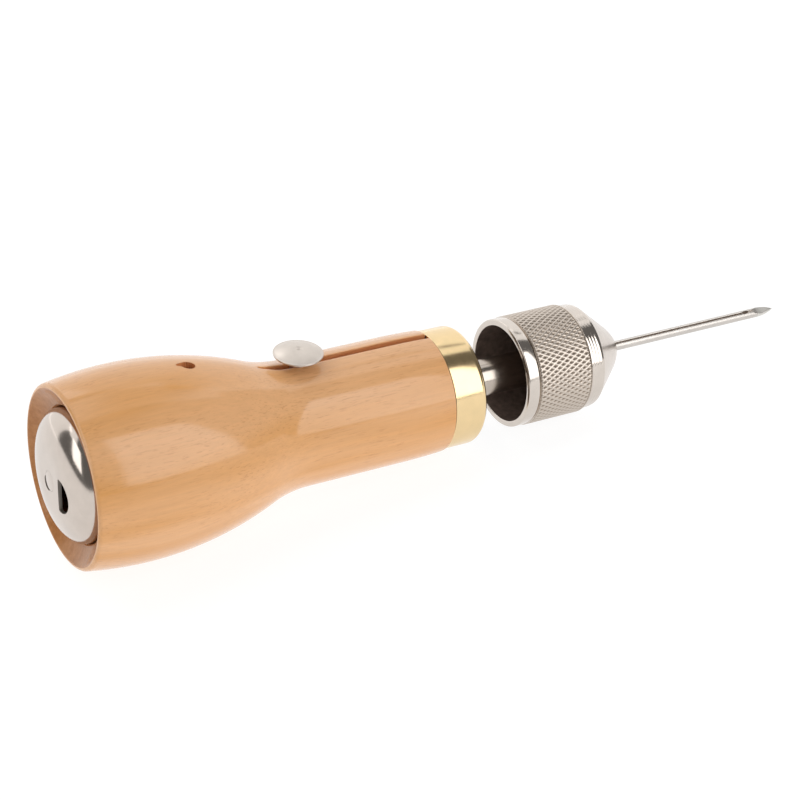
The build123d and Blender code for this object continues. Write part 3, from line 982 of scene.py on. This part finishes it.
def beech_colour(nodes, pale, deep, fleck, strength):
    """Growth bands, fine streaks and short faint flecks, all long along the tool axis."""
    bands = nodes.noise((9, 60, 95), 2.0, 0.5, 0.6)
    colour = nodes.mix("MIX", nodes.ramp(bands, (0.35, 0), (0.68, 1)), pale, deep)
    streaks = nodes.noise((70, 1500, 1500), 3.0, 0.6)
    colour = nodes.mix("MULTIPLY", 0.5, colour, nodes.ramp(streaks, (0.3, 0.88), (0.7, 1.06)))
    mask = nodes.ramp(nodes.noise((380, 3600, 3600), 2.0, 0.55), (0.56, 0), (0.68, strength))
    patches = nodes.ramp(nodes.noise((45, 150, 150), 2.0), (0.36, 0.25), (0.6, 1))
    return nodes.mix("MIX", nodes.mix("MULTIPLY", 1.0, mask, patches), colour, fleck)


def varnished_beech():
    """Clear varnish over pale golden beech, with faint crosswise sanding marks."""
    nodes = Nodes("varnished_beech")
    pale, deep, fleck = (0.81, 0.44, 0.205), (0.73, 0.345, 0.10), (0.50, 0.205, 0.06)
    colour = beech_colour(nodes, pale, deep, fleck, 0.4)
    nodes.link(colour, nodes.shader.inputs["Base Color"])
    marks = nodes.noise((2400, 90, 90), 2.0, 0.6)
    nodes.bump(marks, 0.00001)
    swell = nodes.noise((240, 150, 150), 2.0, 0.5)
    coat = nodes.bump(swell, 0.00002, "Coat Normal")
    nodes.bump(marks, 0.000004, "Coat Normal", coat)
    nodes.set(Roughness=0.5, Specular_IOR_Level=0.1)
    nodes.set(Coat_Weight=1.0, Coat_Roughness=0.12, Coat_IOR=1.48)
    return nodes.material


def end_grain_and_shade_beech():
    """The dished mouth: varnished end grain with fine pores, darker and more orange partly from the end
    grain and partly as painted shade.
    """
    nodes = Nodes("end_grain_and_shade_beech")
    rays = nodes.noise((200, 900, 900), 3.0, 0.6)
    # darker than the outside: end grain colour with painted shade of the mouth
    colour = nodes.ramp(rays, (0.3, (0.55, 0.245, 0.085)), (0.7, (0.44, 0.17, 0.045)))
    nodes.link(colour, nodes.shader.inputs["Base Color"])
    nodes.bump(nodes.noise((2500, 4200, 4200), 2.0), 0.00001)
    nodes.bump(nodes.noise((300, 400, 400), 2.0), 0.00004, "Coat Normal")
    nodes.set(Roughness=0.55, Specular_IOR_Level=0.1)
    nodes.set(Coat_Weight=0.8, Coat_Roughness=0.2, Coat_IOR=1.4)
    return nodes.material


def raw_beech():
    """Sawn and drilled beech: rougher, redder and darker than the varnished skin."""
    nodes = Nodes("raw_beech")
    colour = beech_colour(nodes, (0.76, 0.35, 0.15), (0.64, 0.255, 0.09), (0.36, 0.12, 0.04), 0.6)
    nodes.link(colour, nodes.shader.inputs["Base Color"])
    nodes.bump(nodes.noise((500, 2500, 2500), 4.0, 0.7), 0.00015)
    nodes.set(Roughness=0.75, Specular_IOR_Level=0.2)
    return nodes.material


def turned_metal(name, colour, roughness, marks):
    """A plated or bare metal with fine turning marks round the tool axis."""
    nodes = Nodes(name)
    tint = nodes.ramp(
        nodes.noise((400, 400, 400), 3.0),
        (0.3, tuple(0.965 * c for c in colour)),
        (0.7, tuple(min(1.0, 1.02 * c) for c in colour)),
    )
    nodes.link(tint, nodes.shader.inputs["Base Color"])
    patchy = nodes.noise((700, 700, 700), 3.0, 0.6)
    nodes.link(
        nodes.ramp(patchy, (0.3, roughness * 0.88), (0.75, roughness * 1.15)),
        nodes.shader.inputs["Roughness"],
    )
    nodes.bump(nodes.noise((4200, 40, 40), 1.0, 0.5), marks)
    nodes.set(Metallic=1.0)
    return nodes.material


def knurled_metal():
    """Plated knurl: bright ridges over duller pits, with painted shade darkening the flanks and pits by
    depth.
    """
    nodes = Nodes("knurled_nickel")
    place = nodes.place((0, 1 / MM, 1 / MM))
    radius = nodes.add("VectorMath", operation="LENGTH")
    nodes.link(place, radius.inputs[0])
    height = nodes.add("MapRange")
    height.inputs["From Min"].default_value = KNURL_RADIUS - KNURL_DEPTH
    height.inputs["From Max"].default_value = KNURL_RADIUS
    nodes.link(radius.outputs["Value"], height.inputs["Value"])
    height = height.outputs["Result"]
    # painted shade: the colour darkens from the ridges down into the pits
    pit_shade, flank_shade, ridge = (0.25, 0.20, 0.158), (0.43, 0.365, 0.305), (0.59, 0.52, 0.455)
    colour = nodes.ramp(height, (0.1, pit_shade), (0.55, flank_shade), (0.9, ridge))
    nodes.link(colour, nodes.shader.inputs["Base Color"])
    nodes.link(nodes.ramp(height, (0.1, 0.6), (0.9, 0.36)), nodes.shader.inputs["Roughness"])
    nodes.bump(nodes.noise((2500, 2500, 2500), 2.0, 0.6), 0.000006)
    nodes.set(Metallic=1.0)
    return nodes.material


def painted_shade_steel():
    """Painted shade: a dark colour for the inside of the cup, the ferrule joint's groove and the core's
    end behind the crescent.
    """
    nodes = Nodes("painted_shade_steel")
    colour = nodes.ramp(
        nodes.noise((700, 700, 700), 4.0), (0.35, (0.125, 0.092, 0.076)), (0.7, (0.20, 0.148, 0.125))
    )
    nodes.link(colour, nodes.shader.inputs["Base Color"])
    nodes.bump(nodes.noise((6000, 600, 600), 3.0, 0.7), 0.00002)
    nodes.set(Roughness=0.6, Specular_IOR_Level=0.12)
    return nodes.material


# --- stage -----------------------------------------------------------------------------------------
def direction(azimuth, elevation):
    """Unit vector from the object: azimuth 0 is -Y and 90 is +X."""
    a, e = radians(azimuth), radians(elevation)
    return Vector((sin(a) * cos(e), -cos(a) * cos(e), sin(e)))


def make_floor():
    """A pale table under the bulb and the cap's lower edge."""
    rest_x = RIM_X + BELLY_STATION * MM
    slope = atan2((BELLY_RADIUS - CAP_RADIUS) * MM, (KNURL_END - BELLY_STATION) * MM)
    reach = 30.0
    corners = [(-reach, -reach, 0), (reach, -reach, 0), (reach, reach, 0), (-reach, reach, 0)]
    mesh = bpy.data.meshes.new("table")
    mesh.from_pydata(corners, [], [(0, 1, 2, 3)])
    made = bpy.data.objects.new("table", mesh)
    made.rotation_euler = (0, -slope, 0)
    made.location = (rest_x, 0, -(BELLY_RADIUS + FLOOR_GAP) * MM)
    bpy.context.scene.collection.objects.link(made)
    nodes = Nodes("table_white")
    nodes.set(Base_Color=(0.2, 0.2, 0.2), Roughness=0.8, Emission_Color=(1.0, 1.0, 1.0))
    nodes.set(Emission_Strength=0.88, Specular_IOR_Level=0.1)
    mesh.materials.append(nodes.material)
    made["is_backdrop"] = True


def make_world():
    """A dim grey studio, so that the gaps between the lights read dark in the metal."""
    world = bpy.data.worlds.new("studio")
    world.use_nodes = True
    world.node_tree.nodes["Background"].inputs["Color"].default_value = (1, 0.98, 0.96, 1)
    world.node_tree.nodes["Background"].inputs["Strength"].default_value = 0.16
    bpy.context.scene.world = world


def lamp(name, width, height, radiance):
    """A rectangular light; its sides are in metres."""
    light = bpy.data.lights.new(name, "AREA")
    light.shape = "RECTANGLE"
    light.size, light.size_y = width, height
    light.energy = radiance * pi * width * height
    made = bpy.data.objects.new(name, light)
    bpy.context.scene.collection.objects.link(made)
    return made


def softbox(name, azimuth, elevation, distance, *size_and_radiance):
    """A light at a distance from the origin, facing it."""
    made = lamp(name, *size_and_radiance)
    made.location = direction(azimuth, elevation) * distance
    made.rotation_euler = direction(azimuth, elevation).to_track_quat("Z", "Y").to_euler()


def panel(name, centre, turn, *size_and_radiance):
    """A light at centre, turned by Euler angles in degrees."""
    made = lamp(name, *size_and_radiance)
    made.location = centre
    made.rotation_euler = [radians(angle) for angle in turn]


def make_lights():
    """A key box at the front right, a small fill at the left, two ceiling panels, two walls behind."""
    panel("key", (0.405, -0.75, 0.725), (90, 0, 0), 0.79, 1.31, 2.4)
    softbox("fill", -88, 25, 0.9, 0.42, 0.56, 1.9)
    panel("overhead", (-0.36, 0.30, 1.0), (0, 0, 0), 1.68, 0.6, 1.0)
    panel("overhead_right", (0.665, 0.15, 1.0), (0, 0, 0), 0.37, 0.3, 1.0)
    softbox("back_right", 147, 26, 1.15, 1.49, 1.38, 1.0)
    softbox("back_left", -155, 26, 1.15, 1.07, 1.38, 1.0)


def make_camera():
    """The camera's place and turn in the row frame."""
    camera = bpy.data.cameras.new("camera")
    camera.lens, camera.sensor_width = 101.26, 36
    made = bpy.data.objects.new("camera", camera)
    made.location = (-0.22996, -0.37370, 0.22833)
    made.rotation_euler = (radians(62.154), radians(-1.683), radians(-29.616))
    bpy.context.scene.collection.objects.link(made)
    bpy.context.scene.camera = made


# --- the object ------------------------------------------------------------------------------------
beech, mouth, sawn = varnished_beech(), end_grain_and_shade_beech(), raw_beech()
brass = turned_metal("satin_brass", (0.81, 0.615, 0.345), 0.16, 0.0000015)
plate = turned_metal("nickel_plate", (0.64, 0.58, 0.525), 0.14, 0.0000015)
knurled = knurled_metal()
satin = turned_metal("satin_nickel", (0.66, 0.595, 0.54), 0.24, 0.000001)
sheared = turned_metal("sheared_edge", (0.60, 0.55, 0.49), 0.5, 0.000004)
reel = turned_metal("reel_nickel", (0.60, 0.53, 0.475), 0.16, 0.000001)
button = turned_metal("button_nickel", (0.615, 0.555, 0.50), 0.36, 0.000001)
stem = turned_metal("turned_steel", (0.50, 0.44, 0.385), 0.2, 0.000001)
bright = turned_metal("needle_polish", (0.58, 0.545, 0.51), 0.33, 0.0000005)
# darker steel: painted shade in the needle's groove and eye
groove = turned_metal("needle_groove_shade", (0.46, 0.40, 0.35), 0.4, 0.000001)
point = turned_metal("needle_point", (0.69, 0.67, 0.63), 0.45, 0.000001)
# dark colour that paints shade into the cup, the ferrule joint's groove and the crescent
painted_dark = painted_shade_steel()

make_handle(beech, mouth, sawn, painted_dark)
make_ferrule(brass)
make_post(stem)
make_cap(plate, knurled, satin, painted_dark)
make_needle(bright, groove, point)
make_stud(button)
make_outer_flange(reel, sheared)
make_core(reel, painted_dark)
make_inner_flange(reel)
make_spindle(reel)

make_floor()
make_world()
make_lights()
make_camera()
bpy.context.scene.view_settings.view_transform = "Standard"

boxes = {"cad": cad_box, "visual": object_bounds()}
{name: [list(corner) for corner in box] for name, box in boxes.items()}
